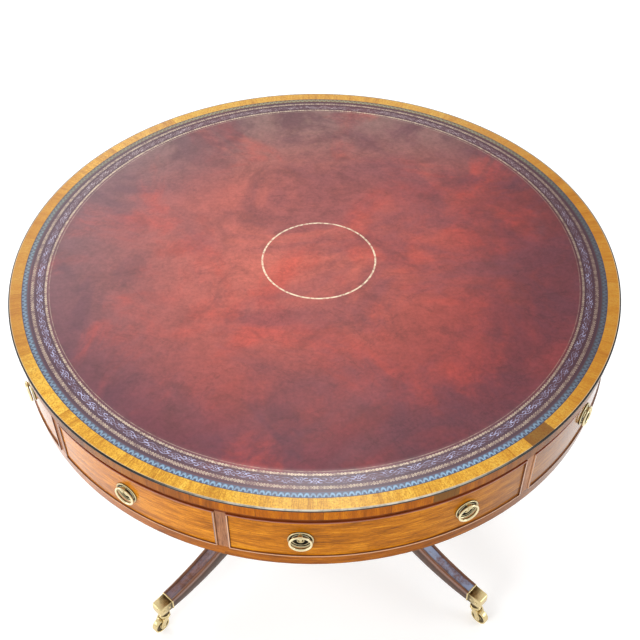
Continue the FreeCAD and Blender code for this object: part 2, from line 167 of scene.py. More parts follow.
class Shape:
    """Points in millimetres and faces, from which one mesh piece is made."""

    def __init__(self):
        self.mesh = bmesh.new()

    def rows(self, rows, place=Matrix.Identity(4), closed=False, caps=False):
        """Faces between neighbouring rings of points. closed joins the last ring to the first."""
        grid = [[self.mesh.verts.new(place @ Vector(point)) for point in row] for row in rows]
        for here, there in zip(grid, grid[1:] + grid[:1] if closed else grid[1:]):
            for i in range(len(here)):
                j = (i + 1) % len(here)
                self.mesh.faces.new((here[i], here[j], there[j], there[i]))
        if caps:
            self.mesh.faces.new(grid[0])
            self.mesh.faces.new(grid[-1])
        return self

    def turning(self, profile, steps, place=Matrix.Identity(4), closed=False):
        """A (radius, height) profile turned about local Z."""
        rows = [[(r * math.cos(a), r * math.sin(a), z)
                 for a in (math.tau * i / steps for i in range(steps))] for r, z in profile]
        return self.rows(rows, place, closed=closed)

    def piece(self, name, body, paint, slot, node, sharp=35):
        """Makes the piece, on its body and in its material, in place of its CAD node."""
        bmesh.ops.remove_doubles(self.mesh, verts=self.mesh.verts, dist=1e-4)
        bmesh.ops.recalc_face_normals(self.mesh, faces=self.mesh.faces)
        bmesh.ops.scale(self.mesh, vec=(MM, MM, MM), verts=self.mesh.verts)
        mesh = bpy.data.meshes.new(name)
        self.mesh.to_mesh(mesh)
        self.mesh.free()
        mesh.shade_smooth()
        mesh.set_sharp_from_angle(angle=math.radians(sharp))
        piece = bpy.data.objects.new(name, mesh)
        bpy.context.scene.collection.objects.link(piece)
        mesh.materials.append(paint.material)
        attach(piece, body)
        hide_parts(node)


# Materials

class Paint:
    """A material's node tree, with short calls for the sums that its patterns need."""

    def __init__(self, name, **values):
        self.material = bpy.data.materials.new(name)
        self.material.use_nodes = True
        self.nodes = self.material.node_tree.nodes
        self.links = self.material.node_tree.links
        self.shader = self.nodes["Principled BSDF"]
        self.place = self.node("TexCoord", out=3)
        self.set(**values)

    def set(self, **values):
        for name, value in values.items():
            self.feed(self.shader.inputs[name.replace("_", " ")], value)

    def feed(self, socket, value):
        if isinstance(value, bpy.types.NodeSocket):
            self.links.new(value, socket)
        else:
            socket.default_value = value

    def node(self, kind, *values, out=0, **settings):
        node = self.nodes.new("ShaderNode" + kind)
        for name, value in settings.items():
            setattr(node, name, value)
        for socket, value in zip(node.inputs, values):
            self.feed(socket, value)
        return node.outputs[out]

    def math(self, operation, *values):
        return self.node("Math", *values, operation=operation)

    def add(self, *values):
        return self.math("ADD", *values)

    def times(self, *values):
        return self.math("MULTIPLY", *values)

    def ease(self, value, low, high, start=0.0, end=1.0):
        """A smooth step from start to end, as the value goes from low to high."""
        return self.node("MapRange", value, low, high, start, end, interpolation_type="SMOOTHSTEP")

    def band(self, value, low, high, soft):
        """1 between low and high, 0 outside, with soft edges."""
        rise = self.ease(value, low - soft, low + soft)
        fall = self.ease(value, high - soft, high + soft, 1.0, 0.0)
        return self.times(rise, fall)

    def mix(self, factor, first, second, blend="MIX"):
        node = self.nodes.new("ShaderNodeMix")
        node.data_type = "RGBA"
        node.blend_type = blend
        for index, value in ((0, factor), (6, first), (7, second)):
            self.feed(node.inputs[index], value)
        return node.outputs[2]

    def xyz(self, vector):
        node = self.nodes.new("ShaderNodeSeparateXYZ")
        self.feed(node.inputs[0], vector)
        return node.outputs

    def vector(self, x, y, z):
        return self.node("CombineXYZ", x, y, z)

    def noise(self, place, scale=1.0, detail=3.0, rough=0.55, bend=0.0):
        node = self.nodes.new("ShaderNodeTexNoise")
        values = {"Vector": place, "Scale": scale, "Detail": detail, "Roughness": rough, "Distortion": bend}
        for name, value in values.items():
            self.feed(node.inputs[name], value)
        return node.outputs[0]

    def ramp(self, value, *stops):
        node = self.nodes.new("ShaderNodeValToRGB")
        self.feed(node.inputs[0], value)
        elements = node.color_ramp.elements
        while len(elements) < len(stops):
            elements.new(0.5)
        for element, (position, colour) in zip(elements, stops):
            element.position = position
            element.color = colour
        return node.outputs[0]

    def curve(self, value, points):
        """The smooth curve through (input, output) points, both from 0 to 1."""
        node = self.nodes.new("ShaderNodeFloatCurve")
        self.feed(node.inputs["Value"], value)
        line = node.mapping.curves[0].points
        while len(line) < len(points):
            line.new(0.5, 0.5)
        for place, point in zip(line, points):
            place.location = point
        node.mapping.update()
        return node.outputs[0]

    def length(self, *values):
        squares = [self.times(value, value) for value in values]
        return self.math("SQRT", self.add(*squares))

    def polar(self, turn=0.0):
        """Radius and height in millimetres, and azimuth in degrees from the turn, about the table's axis."""
        x, y, z = self.xyz(self.place)
        radius = self.times(self.length(x, y), 1 / MM)
        azimuth = self.math("DEGREES", self.math("ARCTAN2", x, self.times(y, -1.0)))
        if turn:
            azimuth = self.math("WRAP", self.add(azimuth, -turn), 180.0, -180.0)
        return radius, azimuth, self.times(z, 1 / MM)

    def bump(self, height, distance_mm, strength):
        node = self.nodes.new("ShaderNodeBump")
        self.feed(node.inputs["Height"], height)
        node.inputs["Distance"].default_value = distance_mm * MM
        node.inputs["Strength"].default_value = strength
        self.feed(self.shader.inputs["Normal"], node.outputs[0])


def srgb(red, green, blue):
    """A colour as a screen shows it, 0 to 255, in linear light."""
    shares = [value / 255 for value in (red, green, blue)]
    return tuple(s / 12.92 if s <= 0.04045 else ((s + 0.055) / 1.055) ** 2.4 for s in shares) + (1.0,)


def wood(paint, along, across, third, tones, figure=1.0, streak=1.0, lift=0.0):
    """The colour and the fine relief of wood whose grain runs along the first of three lengths."""
    light, middle, dark = [srgb(*tone) for tone in tones]

    def grain(run, cross, deep, **values):
        place = paint.vector(paint.times(along, run), paint.times(across, cross), paint.times(third, deep))
        return paint.noise(place, **values)

    broad = grain(0.008, 0.045, 0.02, detail=3.0, bend=0.8)
    fibre = grain(0.03, 0.4, 0.2, detail=5.0, rough=0.7)
    pore = grain(0.12, 0.7, 0.5, detail=3.0, rough=0.65)
    tint = paint.add(paint.times(broad, 0.6 * figure), paint.times(fibre, 0.8 * streak))
    tint = paint.add(paint.add(tint, 0.5 - 0.3 * figure - 0.4 * streak), lift)
    colour = paint.ramp(tint, (0.22, dark), (0.5, middle), (0.78, light))
    speck = paint.ease(pore, 0.54, 0.68)
    colour = paint.mix(paint.times(speck, 0.55), colour, dark)
    return colour, paint.add(fibre, paint.times(speck, -0.6))


def oak_inside(paint, colour, radius, height):
    """Plain oak where a drum board's inner faces and underside show, in place of its veneer."""
    x, y, _ = paint.xyz(paint.place)
    plain, _ = wood(paint, paint.times(x, 1 / MM), paint.times(y, 1 / MM), height, OAK_TONES)
    inside = paint.ease(radius, FRIEZE_RADIUS - 3.0, FRIEZE_RADIUS - 2.5, 1.0, 0.0)
    under = paint.ease(height, DRUM_UNDER + 0.2, DRUM_UNDER + 0.4, 1.0, 0.0)
    return paint.mix(paint.math("MAXIMUM", inside, under), colour, plain)


def front_margin(paint, azimuth, height):
    """The distance in from the edge of the nearest front, and a number for that front.

    The azimuth is counted from the first seam. Each quarter has a wide front and a narrow one.
    """
    quarter = paint.times(azimuth, 1 / QUARTER)
    share = paint.math("FRACT", quarter)
    narrow = paint.math("GREATER_THAN", share, WIDE_SPAN / QUARTER)
    middle = paint.add(paint.times(narrow, QUARTER / 2), WIDE_SPAN / 2)
    offset = paint.math("ABSOLUTE", paint.math("SUBTRACT", paint.times(share, QUARTER), middle))
    half = paint.add(paint.times(narrow, (NARROW_SPAN - WIDE_SPAN) / 2), WIDE_HALF)
    side = paint.times(paint.math("SUBTRACT", half, offset), math.radians(FRIEZE_RADIUS))
    above = paint.math("SUBTRACT", height, FRONT_LOW)
    below = paint.math("SUBTRACT", FRONT_HIGH, height)
    margin = paint.math("MINIMUM", side, paint.math("MINIMUM", above, below))
    return margin, paint.add(paint.math("FLOOR", quarter), paint.times(narrow, 0.5))


def ring_veneer(name, tones, inside=False, **values):
    """Veneer whose grain runs round the frieze, with a sheet of its own for each front."""
    paint = Paint(name, **values)
    radius, azimuth, height = paint.polar(FIRST_SEAM)
    margin, sheet = front_margin(paint, azimuth, height)
    arc = paint.times(azimuth, math.radians(FRIEZE_RADIUS))
    colour, relief = wood(paint, arc, paint.add(height, paint.times(sheet, SHEET_SHIFT)), radius, tones)
    # Painted shade in the gaps beside the cock beads, round the edges of each front
    gap_shade = paint.times(paint.band(margin, -1.2, BEAD_WIDTH + 0.7, 0.4), 0.7)
    colour = paint.mix(gap_shade, colour, srgb(*tones[2]))
    x, _, _ = paint.xyz(paint.place)
    # Painted shade: the frieze darker towards its right side
    colour = paint.mix(paint.ease(x, 0.1, 0.48, 0.0, 0.5), colour, srgb(*RIGHT_SIDE_SHADE_TONE))
    foot = paint.ease(height, DRUM_UNDER + 0.8, DRUM_UNDER + 2.4, 0.6, 0.0)
    colour = paint.mix(foot, colour, srgb(*tones[2]))
    paint.set(Coat_Weight=paint.ease(paint.math("ABSOLUTE", x), 0.15, 0.45, 0.15, 1.0))
    if inside:
        colour = oak_inside(paint, colour, radius, height)
    paint.set(Base_Color=colour)
    paint.bump(relief, 0.05, 0.5)
    return paint


def beading(name, tones, **values):
    """Wood of the cock beads, with a painted highlight along the middle of the nose, painted shade in the
    grooves at its sides, and painted shade on the top bead under the top's overhang.
    """
    paint = Paint(name, **values)
    radius, azimuth, height = paint.polar(FIRST_SEAM)
    margin, _ = front_margin(paint, azimuth, height)
    arc = paint.times(azimuth, math.radians(FRIEZE_RADIUS))
    colour, relief = wood(paint, arc, height, radius, tones)
    nose = paint.ease(radius, FRIEZE_RADIUS - 0.5, FRIEZE_RADIUS + 0.8)
    # Painted highlight along the middle of the bead's nose; painted shade in the grooves on either side of it
    wear_and_highlight = paint.times(paint.band(margin, 0.3 * BEAD_WIDTH, 0.9 * BEAD_WIDTH, 0.3), nose)
    groove_shade = paint.math("SUBTRACT", nose, wear_and_highlight)
    colour = paint.mix(paint.times(wear_and_highlight, 0.7), colour, srgb(*BEAD_HIGHLIGHT_TONE))
    colour = paint.mix(paint.times(groove_shade, 0.7), colour, srgb(*tones[2]))
    # Painted shade on the top bead, under the top's overhang
    overhang_shade = paint.ease(height, FRONT_HIGH - 4.0, FRONT_HIGH - 3.0)
    colour = paint.mix(paint.times(overhang_shade, 0.85), colour, srgb(*TOP_BEAD_SHADE_TONE))
    paint.set(Base_Color=colour)
    paint.bump(relief, 0.05, 0.5)
    return paint


def banding(name, upright, tones, blocks, gap, patches, streaks, repair, repair_tone, **values):
    """Cross-grained blocks round the top, on its edge or its face, one of them a darker repair."""
    paint = Paint(name, **values)
    radius, azimuth, height = paint.polar()
    arc = paint.times(azimuth, math.radians(TOP_RADIUS))
    spot = paint.times(azimuth, blocks / 360)
    index = paint.math("FLOOR", spot)
    tone = paint.node("TexWhiteNoise", paint.vector(index, 3.7, 1.1))
    part = paint.math("FRACT", spot)
    seam = paint.ease(paint.math("MINIMUM", part, paint.math("SUBTRACT", 1.0, part)), 0.0, gap, 1.0, 0.0)
    along, third = (height, radius) if upright else (radius, height)
    along = paint.add(along, paint.times(index, BLOCK_SHIFT))
    patchy = paint.noise(paint.vector(paint.times(arc, 0.06), index, 0.5), 1.0, 3.0, 0.6)
    tone = paint.add(paint.times(tone, 0.14), paint.times(patchy, patches))
    tone = paint.add(tone, -0.07 - 0.5 * patches)
    colour, relief = wood(paint, along, arc, third, tones, 0.8, streaks, tone)
    if upright:
        sideways = paint.math("ABSOLUTE", azimuth)
        # Painted shade: the top's edge darker from the front round towards the sides and back
        colour = paint.mix(paint.ease(sideways, 10.0, 42.0, 0.0, 0.6), colour, srgb(*EDGE_SIDE_SHADE_TONE))
        paint.set(Coat_Weight=paint.ease(sideways, 15.0, 42.0, 0.2, 0.7))
    else:
        x, y, _ = paint.xyz(paint.place)
        # Painted shade on the crossbanding towards its left and right sides, and a paler painted sheen
        # towards the back
        shaded = paint.add(paint.ease(x, 0.1, 0.55, 0.0, 0.68), paint.ease(x, -0.44, -0.56, 0.0, 0.62))
        colour = paint.mix(shaded, colour, srgb(*BAND_SIDE_SHADE_TONE))
        colour = paint.mix(paint.ease(y, 0.15, 0.5, 0.0, 0.4), colour, srgb(*BAND_BACK_SHEEN_TONE))
        grain = paint.ease(paint.noise(paint.place, 320.0, 3.0, 0.75), 0.36, 0.6, 0.6, 0.0)
        colour = paint.mix(grain, colour, srgb(*BAND_GRAIN_TONE))
        # Painted highlight: a pale line round the outer edge of the crossbanding, against the bead
        edge_highlight = paint.times(paint.band(radius, *EDGE_HIGHLIGHT_LINE, 0.3), 0.6)
        colour = paint.mix(edge_highlight, colour, srgb(*EDGE_HIGHLIGHT_TONE))
    mended = paint.times(paint.band(azimuth, *repair, 0.05), 0.75)
    colour = paint.mix(mended, colour, srgb(*repair_tone))
    colour = paint.mix(paint.times(seam, 0.6), colour, srgb(*tones[2]))
    paint.set(Base_Color=colour)
    paint.bump(relief, 0.05, 0.5)
    return paint


def upright_wood(name, tones, girth, radial=False, **values):
    """Wood whose grain runs upwards round a turning or post, or out from the axis in a board."""
    paint = Paint(name, **values)
    radius, azimuth, height = paint.polar()
    arc = paint.times(azimuth, math.radians(girth))
    lengths = (radius, height, arc) if radial else (height, arc, radius)
    colour, relief = wood(paint, *lengths, tones)
    paint.set(Base_Color=colour)
    paint.bump(relief, 0.05, 0.5)
    return paint


def leg_wood():
    """Dark wood whose grain follows the legs' curve, with a painted highlight on the beads, a painted
    reflection in the channel and painted shade on the sides.
    """
    paint = Paint("leg_wood", Roughness=0.4, Specular_IOR_Level=0.1, Coat_Roughness=0.12)
    x, y, _ = paint.xyz(paint.place)
    radius, _, height = paint.polar()
    sideways = paint.math("SUBTRACT", paint.math("ABSOLUTE", x), paint.math("ABSOLUTE", y))
    sideways = paint.times(sideways, math.sqrt(0.5) / MM)
    back = paint.times(paint.math("SUBTRACT", LEG_REACH, radius), 1 / (LEG_REACH - HIP_RADIUS))
    top = paint.times(paint.curve(back, LEG_LINE), HIP_TOP - TOE_TOP)
    below = paint.math("SUBTRACT", paint.add(top, TOE_TOP), height)
    colour, relief = wood(paint, radius, sideways, below, LEG_TONES, streak=1.2)
    # Painted highlight along the beads
    bead = paint.ease(paint.math("ABSOLUTE", sideways), 11.0, 13.0)
    colour = paint.mix(paint.times(bead, 0.35), colour, srgb(*LEG_TONES[0]))
    # Painted reflection in the channel, in patches, stronger on the legs towards the right front
    reflection_patches = paint.ease(paint.noise(paint.place, 45.0, 4.0, 0.7), 0.36, 0.62, 0.15, 0.8)
    channel = paint.times(paint.ease(paint.math("ABSOLUTE", sideways), 8.0, 10.0, 1.0, 0.0), reflection_patches)
    channel = paint.times(channel, paint.ease(paint.math("SUBTRACT", x, y), 0.05, 0.25, 0.3, 1.0))
    colour = paint.mix(channel, colour, srgb(*CHANNEL_REFLECTION_TONE))
    # Painted shade on the leg's sides, below its top
    side = paint.ease(below, 6.0, 11.0)
    colour = paint.mix(paint.times(side, 0.7), colour, srgb(*LEG_SIDE_SHADE_TONE))
    paint.set(Base_Color=colour, Coat_Weight=paint.ease(below, 6.0, 11.0, 1.0, 0.2), Coat_IOR=1.7)
    paint.bump(relief, 0.05, 0.5)
    return paint


def cell(paint, azimuth, radius, count, at):
    """The place in a border's repeat, in millimetres along and outwards from its middle."""
    along = paint.add(paint.math("FRACT", paint.times(azimuth, count / 360)), -0.5)
    return paint.times(along, math.tau * at / count), paint.add(radius, -at)


def gilt_chain(paint, azimuth, radius, at, half, pitch):
    """Two crossing waves with a bead in each eye."""
    count = round(math.tau * at / pitch)
    wave = paint.times(paint.math("SINE", paint.times(azimuth, math.radians(count / 2))), half)
    along, out = cell(paint, azimuth, radius, count, at)
    first = paint.math("ABSOLUTE", paint.math("SUBTRACT", out, wave))
    second = paint.math("ABSOLUTE", paint.add(out, wave))
    waves = paint.ease(paint.math("MINIMUM", first, second), 0.2, 0.75, 1.0, 0.0)
    eyes = paint.ease(paint.length(along, out), 0.6, 1.1, 1.0, 0.0)
    return paint.math("MAXIMUM", waves, eyes)


def blind_foliage(paint, azimuth, radius):
    """A waving stem with a flower head in each of its bays, pressed in without gold."""
    count = 2 * round(math.tau * FOLIAGE_AT / FOLIAGE_PITCH)
    swing = paint.math("SINE", paint.times(azimuth, math.radians(count / 2)))
    along, out = cell(paint, azimuth, radius, count, FOLIAGE_AT)
    stem = paint.math("ABSOLUTE", paint.math("SUBTRACT", out, paint.times(swing, 4.6)))
    side = paint.math("SIGN", swing)
    drop = paint.add(paint.times(out, side), 2.2)
    reach = paint.length(along, drop)
    petals = paint.math("COSINE", paint.times(paint.math("ARCTAN2", drop, along), 6.0))
    outline = paint.math("ABSOLUTE", paint.math("SUBTRACT", reach, paint.add(paint.times(petals, 0.8), 3.6)))
    leaf = paint.math("ABSOLUTE", paint.math("SUBTRACT", paint.math("ABSOLUTE", along), 9.0))
    leaf = paint.length(paint.times(leaf, 0.45), paint.times(drop, 0.8))
    veins = paint.math("ABSOLUTE", paint.add(leaf, -1.8))
    nearest = paint.math("MINIMUM", paint.math("MINIMUM", stem, outline), veins)
    heart = paint.ease(reach, 0.8, 1.4, 1.0, 0.0)
    return paint.math("MAXIMUM", paint.ease(nearest, 0.3, 0.8, 1.0, 0.0), heart)


def aged_leather(paint, radius):
    """Red leather, redder and paler in the middle, with red, plum and brown clouds and fine creases."""
    def cloud(shift, scale, bend, low, high):
        place = paint.node("VectorMath", paint.place, (shift, 1.7 * shift, 0.3), operation="ADD")
        return paint.ease(paint.noise(place, scale, 5.0, 0.62, bend), low, high)

    stops = [(at, srgb(*tone)) for at, tone in LEATHER_STOPS]
    colour = paint.ramp(paint.times(radius, 1 / TOP_RADIUS), *stops)
    x, y, _ = paint.xyz(paint.place)
    near_right = paint.add(x, paint.times(y, -0.8))
    colour = paint.mix(paint.ease(near_right, -0.4, 0.6, 0.0, 0.52), colour, srgb(128, 26, 24))
    # Painted sheen: the leather paler and greyer towards the back
    colour = paint.mix(paint.ease(y, 0.15, 0.5, 0.0, 0.55), colour, srgb(138, 118, 108))
    far_left = paint.times(paint.ease(x, -0.1, -0.5), paint.ease(y, -0.4, 0.0, 0.6, 1.0))
    colour = paint.mix(paint.times(far_left, 0.35), colour, srgb(96, 80, 82))
    colour = paint.mix(paint.ease(x, 0.25, 0.48, 0.0, 0.5), colour, srgb(84, 30, 24))
    right_rim = paint.times(paint.ease(near_right, 0.3, 0.55), paint.ease(radius, 330.0, 480.0))
    front_rim = paint.times(paint.ease(radius, 360.0, 500.0), paint.ease(y, 0.1, -0.35))
    colour = paint.mix(paint.times(front_rim, 0.45), colour, srgb(84, 32, 52))
    for pattern, share, tone in CLOUDS:
        colour = paint.mix(paint.times(cloud(*pattern), share), colour, srgb(*tone))
    stained = paint.times(cloud(*RIM_CLOUD), paint.ease(radius, 230.0, 470.0))
    colour = paint.mix(paint.times(stained, 0.55), colour, srgb(84, 44, 58))
    colour = paint.mix(paint.times(right_rim, 0.6), colour, srgb(92, 42, 50))
    coarse = paint.noise(paint.place, 40.0, 4.0, 0.6)
    fleck = paint.add(paint.noise(paint.place, 150.0, 4.0, 0.7), paint.times(coarse, 0.8))
    drawn = paint.node("VectorMath", paint.place, (0.6, 1.0, 1.0), operation="MULTIPLY")
    crease = paint.noise(drawn, 7.0, 6.0, 0.6, 1.6)
    crease = paint.ease(paint.math("ABSOLUTE", paint.add(crease, -0.5)), 0.0, 0.012, 0.85, 1.0)
    shade = paint.times(paint.ease(fleck, 0.5, 1.3, 0.76, 1.24), crease)
    return paint.mix(1.0, colour, paint.node("CombineColor", shade, shade, shade), "MULTIPLY")


def tooled_leather():
    """Antiqued leather with gilt and blind tooled borders, and a gilt ring in the middle."""
    paint = Paint("tooled_leather")
    radius, azimuth, _ = paint.polar()
    colour = aged_leather(paint, radius)
    grain = paint.noise(paint.place, 420.0, 2.0, 0.5)
    x, y, _ = paint.xyz(paint.place)
    right = paint.times(paint.ease(x, 0.2, 0.5), paint.ease(y, 0.1, 0.4, 1.0, 0.4))
    colour = paint.mix(paint.ease(radius, 498.0, 512.0, 0.0, 0.82), colour, srgb(74, 42, 58))
    dim = paint.times(paint.ease(radius, 498.0, 504.0), paint.times(right, 0.7))
    colour = paint.mix(dim, colour, srgb(62, 30, 36))

    ring_reach = paint.times(paint.length(paint.add(x, -CENTRE_SHIFT * MM), y), 1 / MM)
    gilt = paint.band(ring_reach, *CENTRE_RING, 0.4)
    for low, high in FINE_LINES:
        gilt = paint.math("MAXIMUM", gilt, paint.times(paint.band(radius, low, high, 0.3), 0.35))
    for at, half, pitch in GILT_CHAINS:
        gilt = paint.math("MAXIMUM", gilt, gilt_chain(paint, azimuth, radius, at, half, pitch))
    wear_and_highlight = paint.ease(paint.noise(paint.place, 130.0, 3.0, 0.7), 0.36, 0.58, 0.3, 1.0)
    shown = paint.math("SUBTRACT", paint.ease(x, -0.3, -0.55, 1.0, 0.85), paint.times(right, 0.5))
    gilt = paint.times(paint.times(gilt, wear_and_highlight), shown)

    worn_and_highlight = paint.ease(paint.noise(paint.place, 62.0, 3.0, 0.65), 0.4, 0.58, 0.3, 1.15)
    foliage = blind_foliage(paint, azimuth, radius)
    pressed = paint.times(paint.times(foliage, worn_and_highlight), paint.times(wear_and_highlight, shown))
    silver = paint.mix(paint.ease(y, -0.1, 0.3), srgb(180, 180, 214), srgb(176, 158, 160))
    colour = paint.mix(pressed, colour, silver)
    for low, high in DARK_LINES:
        colour = paint.mix(paint.times(paint.band(radius, low, high, 0.3), 0.8), colour, srgb(52, 34, 48))

    scallops = paint.band(radius, *SCALLOP_BAND, 0.4)
    along, out = cell(paint, azimuth, radius, SCALLOP_COUNT, SCALLOP_BAND[1])
    arch = paint.length(paint.times(along, 1 / 4.8), paint.times(out, 1 / 8.2))
    rib = paint.band(arch, 0.5, 0.98, 0.12)
    silvered = paint.mix(paint.ease(arch, 0.4, 0.6, 1.0, 0.0), srgb(78, 84, 108), srgb(34, 66, 100))
    silvered = paint.mix(paint.times(rib, 0.8), silvered, srgb(142, 184, 214))
    silvered = paint.mix(paint.ease(wear_and_highlight, 0.25, 1.0, 0.4, 0.0), silvered, srgb(84, 62, 78))
    warm = paint.mix(1.0, silvered, srgb(255, 216, 160), "MULTIPLY")
    silvered = paint.mix(paint.ease(y, -0.15, 0.3), silvered, warm)
    silvered = paint.mix(paint.ease(y, 0.1, 0.4, 0.0, 0.25), silvered, srgb(176, 138, 84))
    silvered = paint.mix(paint.times(right, 0.85), silvered, srgb(60, 52, 54))
    silvered = paint.mix(paint.ease(x, -0.15, -0.5, 0.0, 0.45), silvered, srgb(78, 70, 72))
    colour = paint.mix(scallops, colour, silvered)
    colour = paint.mix(paint.ease(radius, 548.4, 549.0), colour, srgb(44, 52, 76))
    colour = paint.mix(gilt, colour, srgb(224, 204, 176))
    paint.set(Base_Color=colour, Metallic=paint.times(gilt, 0.4))
    border = paint.times(paint.ease(radius, 492.0, 504.0), paint.ease(y, -0.25, -0.45))
    paint.set(Specular_IOR_Level=0.28, Roughness=paint.ease(border, 0.0, 1.0, 0.42, 0.3))
    paint.set(Coat_Weight=paint.times(border, 0.5), Coat_Roughness=0.3)
    tooling = paint.math("MAXIMUM", paint.math("MAXIMUM", gilt, pressed), paint.times(scallops, rib))
    paint.bump(paint.add(paint.times(grain, 0.2), paint.times(tooling, -1.0)), 0.2, 0.7)
    return paint


def brass(name, base, dim, roughness, relief=None):
    """Cast metal, dull in its hollows and polished bright on its high places, or dull to bright from one
    radius outwards to another.
    """
    paint = Paint(name, Metallic=1.0, Roughness=roughness)
    if relief:
        high = paint.ease(paint.polar()[0], *relief)
    else:
        high = paint.ease(paint.node("NewGeometry", out=7), 0.46, 0.53)
    stain = paint.noise(paint.place, 160.0, 4.0, 0.6)
    wear_and_highlight = paint.add(high, paint.times(paint.add(stain, -0.5), 0.8))
    paint.set(Base_Color=paint.ramp(wear_and_highlight, (0.1, srgb(*dim)), (0.75, srgb(*base))))
    paint.bump(paint.noise(paint.place, 900.0, 2.0), 0.02, 0.4)
    return paint


def black_bead_with_highlight():
    """Black stain on the edge bead, with a painted highlight as a pale grey line along its crown at the
    front.
    """
    paint = Paint("bead_black", Roughness=0.35, Specular_IOR_Level=0.2)
    _, azimuth, height = paint.polar()
    patchy = paint.ease(paint.noise(paint.place, 60.0, 4.0, 0.7), 0.3, 0.6, 0.45, 1.0)
    # Painted highlight along the crown of the bead, at the front only
    worn_and_highlight = paint.times(paint.ease(height, TOP - 1.5, TOP - 0.4), patchy)
    worn_and_highlight = paint.times(worn_and_highlight, paint.band(azimuth, -20.0, 26.0, 14.0))
    paint.set(Base_Color=paint.mix(worn_and_highlight, srgb(18, 17, 19), srgb(206, 200, 184)))
    paint.bump(paint.noise(paint.place, 300.0, 3.0), 0.04, 0.4)
    return paint


# The leather's colour from the middle outwards, as (share of the top's radius, tone), and its clouds,
# as ((shift, scale, bend, low, high), share, tone)
LEATHER_STOPS = [(0.15, (196, 102, 86)), (0.55, (162, 78, 70)), (0.88, (116, 56, 66))]
CLOUDS = [
    ((3.1, 4.5, 0.6, 0.46, 0.66), 0.5, (196, 68, 52)),
    ((8.3, 3.4, 0.8, 0.46, 0.66), 0.6, (110, 62, 70)),
    ((5.7, 11.0, 1.2, 0.48, 0.7), 0.35, (92, 44, 42)),
]
RIM_CLOUD = (12.7, 5.0, 0.7, 0.46, 0.6)

# Borders on the leather: radii, and GILT_CHAINS as (radius, half width, pitch)
CENTRE_RING = (106.3, 109.7)
CENTRE_SHIFT = 8.0
FINE_LINES = [(499.0, 500.2)]
GILT_CHAINS = [(505.8, 1.7, 5.6), (530.2, 2.5, 5.2)]
DARK_LINES = [(509.2, 510.4), (523.8, 525.0), (535.0, 536.6)]
FOLIAGE_AT = 517.0
FOLIAGE_PITCH = 46.0
SCALLOP_BAND = (539.0, 548.6)
SCALLOP_COUNT = 346

# Spans and azimuths in the veneers, in degrees
QUARTER = 90.0
WIDE_SPAN = 54.0
NARROW_SPAN = QUARTER - WIDE_SPAN
WIDE_HALF = 26.089
FIRST_SEAM = DRUM_TURN - WIDE_SPAN / 2
FACE_REPAIR = (36.4, 41.8)
EDGE_REPAIR = (17.5, 22.0)

# Heights, widths and radii in the veneers, and how far the grain moves on from sheet to sheet
FRONT_LOW, FRONT_HIGH = 622.0, 719.0
BEAD_WIDTH = 3.0
EDGE_HIGHLIGHT_LINE = (570.6, 572.4)
SHEET_SHIFT, BLOCK_SHIFT = 137.0, 97.0

# Wood tones, from the lightest streaks to the pores
FRONT_TONES = (242, 164, 40), (190, 112, 10), (90, 45, 8)
RAIL_TONES = (204, 125, 26), (162, 89, 8), (80, 36, 6)
# Tones of the painted shadow on the upper board under the top's overhang
SHADE_TONES = (158, 84, 24), (120, 56, 10), (54, 24, 8)
EDGE_TONES = (226, 141, 8), (176, 94, 2), (96, 46, 4)
BAND_TONES = (255, 220, 100), (238, 184, 66), (150, 86, 22)
STILE_TONES = (208, 152, 110), (170, 114, 76), (96, 56, 36)
BEAD_TONES = (196, 124, 66), (156, 88, 40), (72, 32, 16)
# Tones of the painted highlight on the cock beads and of the painted shade on the top bead
BEAD_HIGHLIGHT_TONE = (236, 180, 132)
TOP_BEAD_SHADE_TONE = (138, 58, 20)
DARK_TONES = (122, 66, 42), (84, 42, 27), (44, 22, 15)
LEG_TONES = (146, 94, 66), (98, 58, 40), (46, 26, 18)
# Tones of the painted shade on the legs' sides and the painted reflection in their channels
LEG_SIDE_SHADE_TONE = (46, 34, 26)
CHANNEL_REFLECTION_TONE = (150, 170, 206)
OAK_TONES = (196, 158, 108), (168, 128, 82), (122, 88, 54)
# Tones of painted shade on the frieze's right side and on the top's edge away from the front
RIGHT_SIDE_SHADE_TONE, EDGE_SIDE_SHADE_TONE = (70, 50, 28), (80, 56, 20)
# Tones of the crossbanding's painted side shade and back sheen, and of its grain
BAND_SIDE_SHADE_TONE, BAND_BACK_SHEEN_TONE, BAND_GRAIN_TONE = (152, 86, 14), (166, 132, 96), (176, 106, 36)
EDGE_HIGHLIGHT_TONE = (214, 200, 170)

POLISH = {"Roughness": 0.45, "Specular_IOR_Level": 0.05, "Coat_Roughness": 0.1, "Coat_IOR": 1.33}
DULL = {"Roughness": 0.5, "Specular_IOR_Level": 0.05, "Coat_Weight": 0.5, "Coat_Roughness": 0.15,
        "Coat_IOR": 1.25}
front_veneer = ring_veneer("front_veneer", FRONT_TONES, **POLISH)
rail_veneer = ring_veneer("rail_veneer", RAIL_TONES, inside=True, **POLISH)
